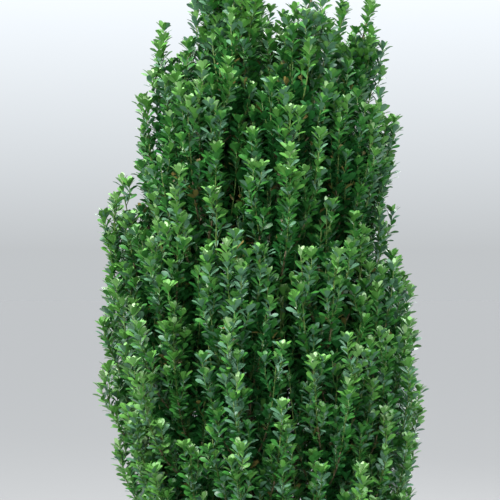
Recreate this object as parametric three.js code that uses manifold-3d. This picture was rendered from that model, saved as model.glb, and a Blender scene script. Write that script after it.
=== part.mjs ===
// A columnar Japanese holly in a plain clay pot, as three.js meshes.
// Sizes are millimetres, +Z is up, and the origin is the centre of the pot's flat underside.
// The plant is a short flared trunk, one tapering bough for each mass of foliage, and the masses:
// upright plumes in three rings and a middle one. A plume is a stem that swells into a core, with twigs and
// leaves fused on. Leaves are larger than life, because they are far fewer than the plant has.

import * as THREE from 'three';
import { mergeVertices } from 'three/addons/utils/BufferGeometryUtils.js';
import Module from 'manifold-3d';

const wasm = await Module();
wasm.setup();

const TURN = Math.PI * 2;
const GOLDEN_TURN = TURN * 0.381966;
const GOLDEN_SHARE = 0.618034;
const GAP = 0.3; // between solids that meet
const SHORTEST_EDGE = 0.02;

const POT = {
  height: 370,
  footRadius: 148,
  bandFoot: 308, // where the band under the rim begins
  bandRadius: 200, // the wall's outer radius under the band
  rimRadius: 215,
  wall: 16,
  floor: 22,
  edge: 5, // bevel of the rim and of the foot
  sides: 28,
};
const SOIL = { edgeTop: 332, seatTop: 340, seatRadius: 80, clear: 1, sides: 20 };
const TRUNK = {
  height: 112,
  radii: [60, 48, 43, 43, 46, 47, 38, 20], // from the cut at the soil to the fork
  lobes: 5, // of the root flare
  lobeShare: 0.2,
  lean: 4,
  sides: 15,
};

// The rings of masses. Heights are above the soil. The radii of a ring's stems about the crown's middle and
// the masses' half-widths are at even steps from foot to tip. Stems on the left reach higher by the swing.
const RINGS = [
  {
    name: 'low',
    count: 10,
    phase: 0.31,
    foot: 96,
    tip: 885,
    swing: 55,
    jitter: 70,
    radii: [104, 183, 219, 242, 251, 244],
    halfWidths: [84, 108, 116, 118, 110, 90],
    boughRadii: [10.5, 6],
    spanDegrees: 250, // its twigs point this far round, facing out of the crown
  },
  {
    name: 'mid',
    count: 8,
    phase: 0.12,
    foot: 500,
    tip: 1222,
    swing: 58,
    jitter: 60,
    radii: [112, 136, 164, 196, 212, 188],
    halfWidths: [66, 84, 100, 110, 104, 90],
    boughRadii: [9, 5.5],
    spanDegrees: 260,
  },
  {
    name: 'top',
    angles: [0, 46, 128, 180, 232, 282],
    foot: 800,
    tip: 1440,
    swing: 32,
    jitter: 24,
    radii: [50, 60, 90, 130, 158, 168],
    halfWidths: [60, 74, 90, 98, 92, 80],
    boughRadii: [9.5, 5.5],
    spanDegrees: 320,
  },
  {
    name: 'middle',
    angles: [75],
    foot: 860,
    tip: 1350,
    swing: 0,
    jitter: 0,
    radii: [0, 0, 0, 0, 0, 0],
    halfWidths: [60, 68, 80, 92, 92, 90],
    boughRadii: [10.5, 5.5],
    spanDegrees: 360,
  },
];
const UNEVEN = 0.2; // of the spacing in a ring, as a share of the even step
// How far the crown's middle stands off the pot's axis towards +X, by height above the soil.
const DRIFT = [
  [0, 0], [330, 8], [530, -2], [730, -16], [860, -24], [1080, -12], [1300, 36], [1500, 66],
];

// Boughs leave the trunk at a radius from its axis and a depth under its fork. Every other low bough
// leaves higher by the lift. Mid boughs leave the nearest top bough at heights above the soil.
const BOUGH_ROOTS = {
  middle: { radius: 0, depth: 20 },
  top: { radius: 31, depth: 30 },
  low: { radius: 26, depth: 68, lift: 24 },
  midHeights: [270, 320, 370],
};
const BOUGH = { sides: 5, ringStep: 140, sag: 0.08 };
const LINE = { lengthSteps: 400, halvings: 16 }; // how finely a curve is measured and searched

const STEM = { radius: 5, tipRadius: 2.6, stations: 12 };
const CORE = {
  radii: [0.24, 0.22, 0.38, 0.24, 0.36, 0.2], // shares of the half-width
  from: 0.1, // where it begins and ends, as shares of the stem
  to: 0.86,
  roughness: 0.55, // how unevenly its corners stand out
  sides: 5,
};
const SPACE = {
  inward: 0.6, // how far a mass in an outer ring reaches back into the crown, as a share of the half-width
  outerRing: 80, // the foot radius from which a ring is an outer one
  margin: 0.05, // between the spaces of two masses, as a share of a half-width
  probe: 0.4, // a piece is tested at its corners and this far from each towards its middle
};
const TWIG = {
  count: 4,
  radius: 3.6,
  taper: 0.8,
  from: 0.06, // the stretch of the stem that carries twigs
  span: 0.74,
  short: 72, // how far inside the mass's half-width a twig ends, so that its leaves reach the outline
  leastReach: 22,
  rise: 34, // upward, with a share of the outward reach added
  riseShare: 1.1,
  bow: 0.14,
  leafTurn: 0.5, // radians from the twig's own turn to its first leaf's
};
const LEAF = { length: 104, width: 56, keel: 4, widest: 0.6, sink: 2.4 };
// How far a leaf leans out. Where space is tight it stands nearer its shoot, or turns to face out of the
// crown.
const SLANTS = [1, 0.65, 0.35];
const PULLS = [0, 0.45, 0.8];
const ROLL = 1.1; // radians, the range over which leaves roll about their own length
const LEAVES_ON_TWIG = [0.6, 0.97];
const LEAVES_ON_LEADER = [0.9, 0.94, 0.97, 1];
const LEAVES_ON_CORE = { count: 12, from: 0.05, span: 0.78, depth: 0.6 };

// Lone shoots that stand out of the crown: the mass, the share of its stem where the shoot leaves, its
// outward reach and its tip's height above the soil.
const STRAYS = [
  ['low_1', 0.66, 66, 790],
  ['low_3', 0.7, 62, 850],
  ['low_6', 0.78, 70, 960],
  ['low_8', 0.7, 62, 830],
  ['mid_1', 0.64, 62, 1090],
  ['mid_3', 0.72, 52, 1160],
  ['mid_5', 0.86, 32, 1320],
  ['mid_7', 0.72, 52, 1130],
];
const LEAVES_ON_STRAY = [0.4, 0.6, 0.78, 0.92, 1];
const STRAY_SLANTS = [0.55, 0.35];

const finish = (color, roughness) => new THREE.MeshStandardMaterial({ color, roughness, metalness: 0 });
const CLAY = finish(0xb06a4a, 0.85);
const EARTH = finish(0x3a2a20, 1);
const BARK = finish(0x6f6152, 0.9);
const GREENS = [finish(0x2c5a31, 0.45), finish(0x376b36, 0.45), finish(0x447d3b, 0.45)];

// A repeatable number from 0 to 1 for three whole keys. The kinds keep one use apart from another.
const KIND = { spacing: 1, tip: 2, twigPlace: 3, twigTurn: 4, leafPlace: 5, leafTurn: 6, roll: 7 };
function chance(mass, item, kind) {
  const mixed = Math.sin(12.9898 * mass + 78.233 * item + 37.719 * kind + 0.731) * 43758.5453;
  return mixed - Math.floor(mixed);
}

// The value at a share from 0 to 1 of an even list.
function along(values, share) {
  const place = Math.min(Math.max(share, 0), 1) * (values.length - 1);
  const step = Math.min(Math.floor(place), values.length - 2);
  return THREE.MathUtils.lerp(values[step], values[step + 1], place - step);
}

function driftAt(z) {
  const height = z - SOIL.seatTop;
  const next = Math.max(1, DRIFT.findIndex(([stop]) => stop > height));
  const [[low, lowDrift], [high, highDrift]] = [DRIFT[next - 1], DRIFT[next]];
  return THREE.MathUtils.mapLinear(height, low, high, lowDrift, highDrift);
}

function crownPoint(radius, angle, z) {
  return new THREE.Vector3(driftAt(z) + radius * Math.cos(angle), radius * Math.sin(angle), z);
}

function angleFrom(a, b) {
  return Math.atan2(Math.sin(b - a), Math.cos(b - a));
}

// Solids from geometries and back.
function solidOf(geometry) {
  const bare = geometry.clone();
  bare.deleteAttribute('normal');
  bare.deleteAttribute('uv');
  const merged = mergeVertices(bare, 1e-4);
  const mesh = { numProp: 3, vertProperties: merged.attributes.position.array };
  return new wasm.Manifold(new wasm.Mesh({ ...mesh, triVerts: new Uint32Array(merged.index.array) }));
}

function geometryOf(solid) {
  const mesh = solid.getMesh();
  const geometry = new THREE.BufferGeometry();
  geometry.setAttribute('position', new THREE.BufferAttribute(mesh.vertProperties, 3));
  geometry.setIndex(new THREE.BufferAttribute(mesh.triVerts, 1));
  geometry.computeVertexNormals();
  return geometry;
}

// The one body that is left once sealed hollows and loose scraps are dropped.
function wholeBody(solid) {
  const bodies = solid.simplify(SHORTEST_EDGE).decompose();
  return bodies.reduce((best, body) => (body.volume() > best.volume() ? body : best));
}

// Pot and soil.
function lathe(profile, sides) {
  const points = profile.map(([radius, z]) => new THREE.Vector2(radius, z));
  return new THREE.LatheGeometry(points, sides).rotateX(Math.PI / 2);
}

function potWallRadius(z) {
  return THREE.MathUtils.mapLinear(z, 0, POT.bandFoot, POT.footRadius, POT.bandRadius);
}

function potGeometry() {
  const { height, footRadius, bandFoot, bandRadius, rimRadius, wall, floor, edge } = POT;
  return lathe(
    [
      [0, 0],
      [footRadius - edge, 0],
      [footRadius, edge],
      [bandRadius, bandFoot],
      [rimRadius - edge, bandFoot],
      [rimRadius, bandFoot + edge],
      [rimRadius, height - edge],
      [rimRadius - edge, height],
      [bandRadius - wall + edge, height],
      [bandRadius - wall, height - edge],
      [bandRadius - wall, bandFoot],
      [potWallRadius(floor) - wall, floor],
      [0, floor],
    ],
    POT.sides,
  );
}

function soilGeometry() {
  const { wall, floor, bandFoot, bandRadius, sides } = POT;
  const inFlats = Math.cos(Math.PI / sides); // keeps the soil inside the flats of the pot's inner wall
  const clear = wall + SOIL.clear;
  return lathe(
    [
      [0, floor + GAP],
      [(potWallRadius(floor) - clear) * inFlats, floor + GAP],
      [(bandRadius - clear) * inFlats, bandFoot],
      [(bandRadius - clear) * inFlats, SOIL.edgeTop],
      [SOIL.seatRadius, SOIL.seatTop],
      [0, SOIL.seatTop],
    ],
    SOIL.sides,
  );
}

// The trunk stands on the soil. It is grown by the gap where it cuts the boughs' feet.
function trunkGeometry(grow = 0) {
  const { height, radii, lobes, lobeShare, lean, sides } = TRUNK;
  const geometry = new THREE.CylinderGeometry(1, 1, 1, sides, radii.length - 1);
  const place = geometry.attributes.position;
  for (let i = 0; i < place.count; i += 1) {
    const share = place.getY(i) + 0.5;
    const turn = Math.atan2(place.getZ(i), place.getX(i));
    const flare = 1 + lobeShare * (1 - share) ** 3 * Math.cos(lobes * turn);
    const radius = Math.hypot(place.getX(i), place.getZ(i)) * (along(radii, share) * flare + grow);
    const z = SOIL.seatTop + GAP + share * (height + grow);
    place.setXYZ(i, lean * share + radius * Math.cos(turn), -radius * Math.sin(turn), z);
  }
  return geometry;
}

// A tapering limb along a stretch of a curve: a cylinder whose rings are set across the curve. A rough
// limb's corners stand out unevenly.
function limbGeometry(line, [from, to], radii, sides, rings, rough = 0, key = 0) {
  const geometry = new THREE.CylinderGeometry(1, 1, 1, sides, rings);
  const place = geometry.attributes.position;
  for (let i = 0; i < place.count; i += 1) {
    const share = place.getY(i) + 0.5;
    const at = THREE.MathUtils.lerp(from, to, share);
    const ahead = line.curve.getTangentAt(at);
    const side = line.side.clone().addScaledVector(ahead, -line.side.dot(ahead)).normalize();
    const front = new THREE.Vector3().crossVectors(ahead, side);
    const corner = Math.round((Math.atan2(place.getZ(i), place.getX(i)) / TURN + 1) * sides) % sides;
    const uneven = 1 + rough * (chance(key, Math.round(share * rings), corner) - 0.5);
    const radius = along(radii, share) * uneven;
    const point = line.curve.getPointAt(at);
    point.addScaledVector(front, place.getX(i) * radius).addScaledVector(side, place.getZ(i) * radius);
    place.setXYZ(i, point.x, point.y, point.z);
  }
  return geometry;
}

// The plan of the masses. Each has one line, from where its bough leaves the trunk or another bough,
// through its foot, to its tip.
function planMasses() {
  const masses = [];
  for (const ring of RINGS) {
    const angles = ring.angles ?? Array.from({ length: ring.count }, (_, k) => {
      const uneven = UNEVEN * (chance(ring.count, k, KIND.spacing) - 0.5);
      return (360 / ring.count) * (k + ring.phase + uneven);
    });
    angles.forEach((degrees, k) => {
      const angle = THREE.MathUtils.degToRad(degrees);
      const jitter = ring.jitter * (chance(angles.length, k, KIND.tip) - 0.5);
      masses.push({
        ring,
        angle,
        index: k,
        key: masses.length + 1,
        name: angles.length === 1 ? ring.name : `${ring.name}_${k + 1}`,
        foot: SOIL.seatTop + ring.foot,
        tip: SOIL.seatTop + ring.tip - ring.swing * Math.cos(angle) + jitter,
        leaves: [],
      });
    });
  }
  return masses;
}

function drawLine({ ring, angle, foot, tip }, root) {
  const stem = ring.radii.map((radius, i) => {
    const z = THREE.MathUtils.mapLinear(i, 0, ring.radii.length - 1, foot, tip);
    return crownPoint(radius, angle, z);
  });
  const between = root.clone().lerp(stem[0], 0.5);
  between.z -= BOUGH.sag * (foot - root.z);
  const curve = new THREE.CatmullRomCurve3([root, between, ...stem]);
  curve.arcLengthDivisions = LINE.lengthSteps;
  const side = new THREE.Vector3(-Math.sin(angle), Math.cos(angle), 0);
  return { curve, side, length: curve.getLength(), footShare: shareAtHeight(curve, foot) };
}

// How far along a rising curve a height lies.
function shareAtHeight(curve, z) {
  let [low, high] = [0, 1];
  for (let i = 0; i < LINE.halvings; i += 1) {
    const middle = (low + high) / 2;
    if (curve.getPointAt(middle).z < z) low = middle;
    else high = middle;
  }
  return low;
}

// The point where a mass's bough begins, inside the limb that carries it.
function boughRoot(mass, masses) {
  const { radius, depth, lift = 0 } = BOUGH_ROOTS[mass.ring.name] ?? {};
  if (depth) {
    const z = SOIL.seatTop + TRUNK.height - depth + lift * (mass.index % 2);
    return { root: crownPoint(radius, mass.angle, z), parent: null };
  }
  const carriers = masses.filter((other) => other.ring.name === 'top');
  const away = (other) => Math.abs(angleFrom(other.angle, mass.angle));
  const parent = carriers.reduce((best, other) => (away(other) < away(best) ? other : best));
  const heights = BOUGH_ROOTS.midHeights;
  const share = shareAtHeight(parent.line.curve, SOIL.seatTop + heights[mass.index % heights.length]);
  return { root: parent.line.curve.getPointAt(share), parent };
}

function boughGeometry({ ring, line }, grow = 0) {
  const radii = ring.boughRadii.map((radius) => radius + grow);
  const rings = Math.max(3, Math.round((line.length * line.footShare) / BOUGH.ringStep));
  return limbGeometry(line, [0, line.footShare], radii, BOUGH.sides, rings);
}

// The space of a mass. A point's distance from its stem is told as a share of the half-width there.
function closeness(mass, point) {
  let least = Infinity;
  for (let i = 1; i < mass.stations.length; i += 1) {
    const a = mass.stations[i - 1];
    const b = mass.stations[i];
    const way = b.point.clone().sub(a.point);
    const t = THREE.MathUtils.clamp(point.clone().sub(a.point).dot(way) / way.lengthSq(), 0, 1);
    const away = point.distanceTo(a.point.clone().addScaledVector(way, t));
    least = Math.min(least, away / THREE.MathUtils.lerp(a.halfWidth, b.halfWidth, t));
  }
  return least;
}

// An outer mass stops short of the crown's bare inside.
function tooFarIn({ ring, angle, foot, tip }, point) {
  if (ring.radii[0] < SPACE.outerRing) return false;
  const share = THREE.MathUtils.mapLinear(point.z, foot, tip, 0, 1);
  const radius = (point.x - driftAt(point.z)) * Math.cos(angle) + point.y * Math.sin(angle);
  return along(ring.radii, share) - radius > SPACE.inward * along(ring.halfWidths, share);
}

// A lone shoot may leave its own mass's space, but it doesn't enter another's.
function inSpace(mass, point, stray) {
  const own = closeness(mass, point);
  if ((own > 1 && !stray) || tooFarIn(mass, point)) return false;
  const claim = Math.min(own, 1) + SPACE.margin;
  return mass.neighbours.every((other) => closeness(other, point) > claim);
}

function cornersOf(geometry) {
  const place = geometry.attributes.position;
  return Array.from({ length: place.count }, (_, i) => new THREE.Vector3().fromBufferAttribute(place, i));
}

// The solid of a leaf or twig, or nothing where it would leave the mass's space, touch a limb or cut a
// leaf.
function staysClear(mass, geometry, stray) {
  const corners = cornersOf(geometry);
  const middle = corners.reduce((sum, p) => sum.add(p), new THREE.Vector3()).divideScalar(corners.length);
  const probes = corners.flatMap((p) => [p, p.clone().lerp(middle, SPACE.probe)]);
  if (!probes.every((p) => inSpace(mass, p, stray))) return null;
  const solid = solidOf(geometry);
  const box = new THREE.Box3().setFromPoints(corners);
  const others = stray ? mass.limbs : [...mass.limbs, ...mass.leaves];
  const near = others.filter((other) => other.box.intersectsBox(box));
  return near.every((other) => solid.intersect(other.solid).isEmpty()) ? { solid, box } : null;
}

// A leaf has a flat upper side, widest past its middle, and a keel below. Its root is sunk into what
// carries it.
const LEAF_CORNERS = [
  [0, 0, 0], [LEAF.widest, 0.5, 0], [LEAF.widest, 0, -1], [LEAF.widest, -0.5, 0], [1, 0, 0],
];
const LEAF_FACES = [0, 1, 2, 0, 2, 3, 0, 3, 1, 4, 2, 1, 4, 3, 2, 4, 1, 3];
function leafGeometry(root, ahead, upper) {
  const across = new THREE.Vector3().crossVectors(upper, ahead).normalize();
  const above = new THREE.Vector3().crossVectors(ahead, across);
  const points = LEAF_CORNERS.map(([far, aside, up]) => root.clone()
    .addScaledVector(ahead, far * LEAF.length - LEAF.sink)
    .addScaledVector(across, aside * LEAF.width)
    .addScaledVector(above, up * LEAF.keel));
  return new THREE.BufferGeometry().setFromPoints(points).setIndex(LEAF_FACES);
}

// Leaves round a shoot, by golden turns. Each takes the first turn and slant that keep it clear, or is
// skipped.
function leavesOn(mass, places, turn, stray = false) {
  return places.flatMap(({ point, ahead, depth = 0 }, i) => {
    const even = turn + i * GOLDEN_TURN;
    const roll = ROLL * (chance(mass.key, mass.leaves.length, KIND.roll) - 0.5);
    const slants = stray ? STRAY_SLANTS : SLANTS;
    for (const [pull, slant] of PULLS.flatMap((pull) => slants.map((slant) => [pull, slant]))) {
      const around = even + pull * angleFrom(even, mass.angle);
      const across = new THREE.Vector3(Math.cos(around), Math.sin(around), 0);
      const out = across.addScaledVector(ahead, -across.dot(ahead)).normalize();
      const root = point.clone().addScaledVector(out, depth);
      const direction = ahead.clone().addScaledVector(out, slant).normalize();
      const upper = out.clone().negate().applyAxisAngle(direction, roll);
      const leaf = staysClear(mass, leafGeometry(root, direction, upper), stray);
      if (!leaf) continue;
      mass.leaves.push(leaf);
      return [leaf.solid];
    }
    return [];
  });
}

function placesOn(curve, shares) {
  return shares.map((at) => ({ point: curve.getPointAt(at), ahead: curve.getTangentAt(at) }));
}

// A twig rises from a point and bows outward. It is left out where it or all its leaves would be skipped.
function twigWithLeaves(mass, root, turn, reach, rise, leafShares, stray = false) {
  const out = new THREE.Vector3(Math.cos(turn), Math.sin(turn), 0);
  const tip = root.clone().addScaledVector(out, reach);
  tip.z += rise;
  const bend = root.clone().lerp(tip, 0.5).addScaledVector(out, TWIG.bow * reach);
  const curve = new THREE.CatmullRomCurve3([root, bend, tip]);
  const side = new THREE.Vector3(-Math.sin(turn), Math.cos(turn), 0);
  const radii = [TWIG.radius, TWIG.radius * TWIG.taper];
  const twig = staysClear(mass, limbGeometry({ curve, side }, [0, 1], radii, 3, 1), stray);
  if (!twig) return [];
  const leaves = leavesOn(mass, placesOn(curve, leafShares), turn + TWIG.leafTurn, stray);
  return leaves.length ? [twig.solid, ...leaves] : [];
}

function coreRadii({ ring }) {
  const last = CORE.radii.length - 1;
  const swollen = CORE.radii.map((radius, i) => {
    return radius * along(ring.halfWidths, THREE.MathUtils.mapLinear(i, 0, last, CORE.from, CORE.to));
  });
  return [STEM.radius, ...swollen, STEM.tipRadius];
}

function coreSolid(mass) {
  const { line, key } = mass;
  const radii = coreRadii(mass);
  const stretch = [line.footShare + GAP / line.length, 1];
  return solidOf(limbGeometry(line, stretch, radii, CORE.sides, radii.length - 1, CORE.roughness, key));
}

function massSolid(mass) {
  const { ring, key, angle, line } = mass;
  const onStem = (share) => THREE.MathUtils.lerp(line.footShare, 1, share);
  const span = THREE.MathUtils.degToRad(ring.spanDegrees);
  const turnOf = (i, kind) => angle + span * (((i + chance(key, 0, kind)) * GOLDEN_SHARE) % 1 - 0.5);
  const parts = [coreSolid(mass)];
  for (const [name, share, reach, height] of STRAYS) {
    if (name !== mass.name) continue;
    const root = line.curve.getPointAt(onStem(share));
    const rise = SOIL.seatTop + height - root.z;
    parts.push(...twigWithLeaves(mass, root, angle, reach, rise, LEAVES_ON_STRAY, true));
  }
  for (let i = 0; i < TWIG.count; i += 1) {
    const share = TWIG.from + (TWIG.span * (i + 0.5 * chance(key, i, KIND.twigPlace))) / TWIG.count;
    const reach = Math.max(TWIG.leastReach, along(ring.halfWidths, share) - TWIG.short);
    const rise = TWIG.rise + TWIG.riseShare * reach;
    const root = line.curve.getPointAt(onStem(share));
    parts.push(...twigWithLeaves(mass, root, turnOf(i, KIND.twigTurn), reach, rise, LEAVES_ON_TWIG));
  }
  for (let i = 0; i < LEAVES_ON_CORE.count; i += 1) {
    const { count, from, span: stretch, depth } = LEAVES_ON_CORE;
    const share = from + (stretch * (i + chance(key, i, KIND.leafPlace))) / count;
    const [place] = placesOn(line.curve, [onStem(share)]);
    const sunk = depth * along(coreRadii(mass), share);
    parts.push(...leavesOn(mass, [{ ...place, depth: sunk }], turnOf(i, KIND.leafTurn)));
  }
  parts.push(...leavesOn(mass, placesOn(line.curve, LEAVES_ON_LEADER.map(onStem)), angle));
  return wholeBody(parts.reduce((sum, part) => sum.add(part)));
}

// The plant, from the pot up.
function named(name, geometry, material) {
  const mesh = new THREE.Mesh(geometry, material);
  mesh.name = name;
  return mesh;
}

const plant = new THREE.Group();
plant.add(named('pot', potGeometry(), CLAY));
plant.add(named('soil', soilGeometry(), EARTH));
plant.add(named('trunk', trunkGeometry(), BARK));

const masses = planMasses();
// The highest lines come first, because mid boughs leave top boughs.
[...masses].sort((a, b) => b.foot - a.foot).forEach((mass) => {
  const { root, parent } = boughRoot(mass, masses);
  mass.parent = parent;
  mass.line = drawLine(mass, root);
  mass.stations = Array.from({ length: STEM.stations + 1 }, (_, i) => {
    const share = i / STEM.stations;
    const point = mass.line.curve.getPointAt(THREE.MathUtils.lerp(mass.line.footShare, 1, share));
    return { point, halfWidth: along(mass.ring.halfWidths, share) };
  });
});

const trunkCutter = solidOf(trunkGeometry(GAP));
const boughs = new THREE.Group();
for (const mass of masses) {
  const cutter = mass.parent ? solidOf(boughGeometry(mass.parent, GAP)) : trunkCutter;
  const bough = wholeBody(solidOf(boughGeometry(mass)).subtract(cutter));
  boughs.add(named(`bough_${mass.name}`, geometryOf(bough), BARK));
}
plant.add(boughs);

const CLEAR_OF_LIMBS = 1;
const limbs = masses.map((mass) => {
  const geometry = boughGeometry(mass, CLEAR_OF_LIMBS);
  return { solid: solidOf(geometry), box: new THREE.Box3().setFromPoints(cornersOf(geometry)) };
});
const foliage = new THREE.Group();
for (const mass of masses) {
  mass.neighbours = masses.filter((other) => other !== mass);
  mass.limbs = limbs;
  foliage.add(named(`foliage_${mass.name}`, geometryOf(massSolid(mass)), GREENS[mass.key % GREENS.length]));
}
plant.add(foliage);

export default plant;
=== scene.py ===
# A columnar Japanese holly in a clay pot, dressed over the CAD frame: pot, potting mix, bark, twigs, leaves.
# Sizes are millimetres, as in the part's source, up to where a mesh is made.

import math
from types import SimpleNamespace as Table

import bpy
import numpy as np
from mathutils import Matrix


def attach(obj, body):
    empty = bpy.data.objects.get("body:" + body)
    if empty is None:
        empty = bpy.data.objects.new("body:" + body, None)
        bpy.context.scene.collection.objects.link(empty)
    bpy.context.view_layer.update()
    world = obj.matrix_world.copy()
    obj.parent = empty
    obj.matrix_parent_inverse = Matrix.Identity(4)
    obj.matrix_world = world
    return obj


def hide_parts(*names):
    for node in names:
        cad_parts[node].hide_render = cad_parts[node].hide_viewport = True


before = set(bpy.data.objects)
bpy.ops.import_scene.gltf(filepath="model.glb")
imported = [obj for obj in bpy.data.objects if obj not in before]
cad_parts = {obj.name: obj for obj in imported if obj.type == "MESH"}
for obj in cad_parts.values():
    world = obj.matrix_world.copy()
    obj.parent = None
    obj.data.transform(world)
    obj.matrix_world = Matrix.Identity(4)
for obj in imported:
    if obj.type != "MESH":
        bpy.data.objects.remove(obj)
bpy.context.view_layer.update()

MM = 0.001
TURN = 2 * math.pi
GOLDEN_TURN = TURN * 0.381966
GOLDEN_SHARE = 0.618034
GAP = 0.3  # between solids that meet
UP = np.array([0.0, 0.0, 1.0])
SIDEWAYS = np.array([1.0, 0.13, 0.0])  # no limb runs along it, so directions across a limb start from it

# The source's named sizes.
POT = Table(height=370, foot_radius=148, band_foot=308, band_radius=200, rim_radius=215, wall=16, floor=22)
SOIL = Table(edge_top=332, seat_top=340, seat_radius=80, clear=1)
TRUNK = Table(height=112, radii=[60, 48, 43, 43, 46, 47, 38, 20], lobes=5, lobe_share=0.2, lean=4)
# The rings of masses. Heights are above the soil. The last three are the scene's own: the outer strands of a
# mass stand in an odd number of columns, in tiers one above another, and the inner ones behind them.
RINGS = [
    Table(
        name="low", count=10, phase=0.31, foot=96, tip=885, swing=55, jitter=70,
        radii=[104, 183, 219, 242, 251, 244], half_widths=[84, 108, 116, 118, 110, 90],
        bough_radii=[10.5, 6], span_degrees=250, columns=5, tiers=5, inner=14,
    ),
    Table(
        name="mid", count=8, phase=0.12, foot=500, tip=1222, swing=58, jitter=60,
        radii=[112, 136, 164, 196, 212, 188], half_widths=[66, 84, 100, 110, 104, 90],
        bough_radii=[9, 5.5], span_degrees=260, columns=5, tiers=5, inner=12,
    ),
    Table(
        name="top", angles=[0, 46, 128, 180, 232, 282], foot=800, tip=1440, swing=32, jitter=24,
        radii=[50, 60, 90, 130, 158, 168], half_widths=[60, 74, 90, 98, 92, 80],
        bough_radii=[9.5, 5.5], span_degrees=320, columns=5, tiers=4, inner=9,
    ),
    Table(
        name="middle", angles=[75], foot=860, tip=1350, swing=0, jitter=0,
        radii=[0, 0, 0, 0, 0, 0], half_widths=[60, 68, 80, 92, 92, 90],
        bough_radii=[10.5, 5.5], span_degrees=360, columns=7, tiers=4, inner=8,
    ),
]
UNEVEN = 0.2  # the spacing in a ring, as a share of the even step
# How far the crown's middle stands off the pot's axis towards +X, by height above the soil.
DRIFT = [[0, 0], [330, 8], [530, -2], [730, -16], [860, -24], [1080, -12], [1300, 36], [1500, 66]]
BOUGH_ROOTS = {
    "middle": Table(radius=0, depth=20, lift=0),
    "top": Table(radius=31, depth=30, lift=0),
    "low": Table(radius=26, depth=68, lift=24),
}
MID_HEIGHTS = [270, 320, 370]  # where the mid boughs leave the top ones
BOUGH_SAG = 0.08
STEM = Table(radius=5, tip_radius=2.0, stations=12)
SPACE = Table(inward=0.6, outer_ring=80, margin=0.02)
# Lone shoots that stand out of the crown: the mass, the share of its stem where the shoot leaves, its
# outward reach and its tip's height above the soil.
STRAYS = [
    ["low_1", 0.66, 66, 790], ["low_3", 0.7, 62, 850], ["low_6", 0.78, 70, 960],
    ["low_8", 0.7, 62, 830], ["mid_1", 0.64, 62, 1090], ["mid_3", 0.72, 52, 1160],
    ["mid_5", 0.86, 32, 1320], ["mid_7", 0.72, 52, 1130],
]

# Finer growth, carried on from there. A strand is a long upright twig on a mass's stem, and shoots leave it.
# A pair is a least value and what chance adds. A bend is how far a curve's handle stands out and up.
STRAND = Table(
    span=0.86,  # the share of the stem that carries strands
    rise=(150, 130),
    ends=(0.96, 0.05),  # as shares of the stem
    low_ends=(0.9, 0.15),  # the same for a whole plume of the low or mid ring
    depth=(0.84, 0.2),  # the outward reach, as a share of the half-width
    pulls=(1, 0.85, 0.7, 0.5),  # shares of the reach that are tried where space is tight
    inset=10, space=1.3,
    stray=0.3,  # radians off its column
    foot_bend=(0.55, 0.14), tip_bend=(0.08, 0.55), radius=2.3, tip_radius=1.0,
    woody=0.55,  # the share of its length with brown bark
)
PLACING = 0.7  # how uneven strands and shoots are spaced, as a share of the even step
INNER = Table(key=40, wider=0.7, depth=(0.12, 0.4), shoot_spacing=44, leaf_spacing=6, broad=1.35)
SPIRE = Table(slimness=0.72, start=0.64, ends=(0.76, 0.15), shoot_spacing=40, shoot_reach=0.5)
SLIM_TOP = Table(slimness=0.5, start=0.74)
STRAY = Table(higher=30, foot_bend=(0.8, 0.2), tip_bend=0.5)
LEADER = Table(start=0.72, lean=0.3, rise=22)
SHOOT = Table(
    spacing=34,
    start=0.14, span=0.8,  # the stretch of its strand that carries shoots
    reach=(10, 13), rise=(40, 34),
    outward=0.45,  # how far it turns to where its strand faces
    ahead=0.5,  # how far it follows its strand
    foot_bend=(0.7, 0.25), tip_bend=0.4, space=1.2, radius=1.15, tip_radius=0.8,
)
LEAF = Table(
    length=24, width=11.6,
    slimness=(0.82, 0.18),  # the width of a small leaf, and what a full-grown one adds
    spacing=4.2, strand_spacing=1.3,  # times the spacing on a shoot
    shoot_start=0.12, strand_start=0.34,
    rosette=9, rosette_span=(0.95, 0.05),  # leaves close together at a tip
    curve=1.05,  # a twig's length over the straight way
    turn=0.5, roll=1.1, cup=(0.5, 1.6), arch=(2.0, 5.0),
)
SLANT = Table(first=0.26, step=0.085, most=0.92, swing=0.3)  # from the tip of a twig down
SIZE = Table(
    first=0.82, step=0.06, most=1.06, fall=0.12, fall_start=8, fall_over=8,
    foot=0.86, foot_share=0.15, luck=(0.86, 0.26),
)
# How light a leaf stands, from 0 inside the crown to 1 on its outside. The top's tips are light all round.
# Painted light: leaves inside the crown get darker tints as painted shade, and outer and top leaves lighter
# tints as painted light.
PAINTED_LIGHT = Table(stem=0.5, outward=0.55, edge=1.15, top=0.85, top_start=0.6, top_over=0.25)
VIGOUR = Table(strand=(0.75, 0.25), shoot=(0.4, 0.6), low_shoot=(0.25, 0.75))
# A leaf's tint goes by a score from its spray's tone, its exposure and the vigour of its twig.
# Through the exposure, the score paints shade into leaves inside the crown and light into the outer and top
# ones.
TINT = Table(
    tone=0.28, dullness=0.04, exposure=0.45, vigour=0.65, tip_reach=4.5,
    steps=[0.33, 0.52, 0.7, 0.86], names=["shade", "deep", "leaf", "fresh", "tip"],
    blue_start=4, blue=(0.92, 0.56), dry_exposure=0.45, dry=0.045,
    plume_tone=(0.3, 0.7), plume_blue=(0.4, 0.6), strand_tone=(0.7, 0.3),
)
# The tints go partly by each spray's own tone and partly by painted light: leaves inside the crown take the
# darker ones as painted shade, outer and top leaves the lighter ones.
LEAF_COLOURS = {
    "tip": (143, 179, 123), "fresh": (115, 167, 89), "leaf": (91, 149, 65), "deep": (59, 124, 51),
    # The blue tint is a bluish-green leaf hue, in part a painted sheen of the sky on older leaves.
    "blue": (91, 134, 105), "shade": (37, 101, 44), "dry": (130, 118, 64),
}
GLOSS = Table(roughness=0.4, coat=0.32, coat_roughness=0.36)

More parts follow.
